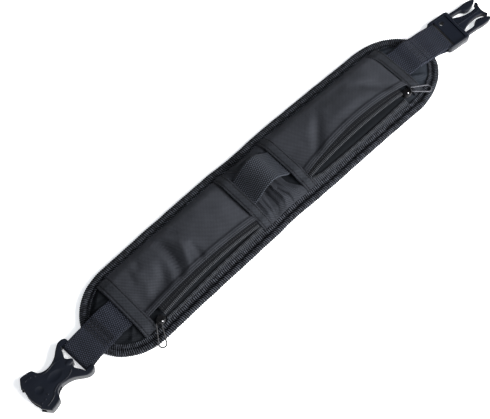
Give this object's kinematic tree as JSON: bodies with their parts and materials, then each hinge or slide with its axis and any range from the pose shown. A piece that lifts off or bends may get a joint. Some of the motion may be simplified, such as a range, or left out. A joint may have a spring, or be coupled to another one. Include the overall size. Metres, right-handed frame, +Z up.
{
  "type": "camera sling strap",
  "caption": "Padded sling strap section with zipped pockets, a webbing carry loop and side-release buckle halves on webbing at both ends.",
  "frame": {"origin": "middle of the pad's flat underside, on the surface that it lies on", "axes": "+X along the pad towards the plug half of the buckle, -Y towards the side of the zips, +Z up"},
  "size_m": [0.4818, 0.0807, 0.0254],
  "materials": {
    "pad_fabric": "matt charcoal knit over foam",
    "pocket_fabric": "fine charcoal twill with a soft sheen",
    "binding_tape": "ribbed charcoal tape",
    "webbing": "woven dark grey webbing with a slight sheen",
    "zip_tape": "woven dark grey tape with a nylon coil",
    "zip_metal": "gunmetal, worn bright on its edges",
    "buckle_plastic": "smooth blue-black acetal"
  },
  "bodies": {
    "pad": {"pad": "pad_fabric", "edge_binding": "binding_tape", "pocket_left": "pocket_fabric", "pocket_right": "pocket_fabric", "centre_panel": "pocket_fabric", "band_left_end": "pocket_fabric", "band_left_middle": "pocket_fabric", "band_right_middle": "pocket_fabric", "band_right_end": "pocket_fabric", "zip_upper_left": "zip_tape", "zip_lower_left": "zip_tape", "zip_upper_right": "zip_tape", "zip_lower_right": "zip_tape", "slider_left": "zip_metal", "slider_right": "zip_metal", "carry_loop": "webbing", "strap_left": "webbing", "strap_right": "webbing"},
    "pull_left": {"pull_left": "zip_metal"},
    "pull_right": {"pull_right": "zip_metal"},
    "socket": {"buckle_socket": "buckle_plastic"},
    "plug": {"buckle_plug": "buckle_plastic"}
  },
  "joints": [
    {"name": "socket_swing", "type": "hinge", "parent": "pad", "child": "socket", "pos_m": [-0.19395, -0.00453, 0.0043], "axis": [-0.0471, 0.9989, 0], "range_deg": [0, 80]},
    {"name": "plug_swing", "type": "hinge", "parent": "pad", "child": "plug", "pos_m": [0.19554, -0.00377, 0.00385], "axis": [-0.1184, -0.993, 0], "range_deg": [0, 80]},
    {"name": "pull_left_swing", "type": "hinge", "parent": "pad", "child": "pull_left", "pos_m": [-0.13622, -0.0289, 0.01224], "axis": [-0.848, 0.5299, 0], "range_deg": [0, 150]},
    {"name": "pull_right_swing", "type": "hinge", "parent": "pad", "child": "pull_right", "pos_m": [0.13871, -0.02309, 0.0125], "axis": [-0.515, -0.8572, 0], "range_deg": [0, 150]}
  ]
}
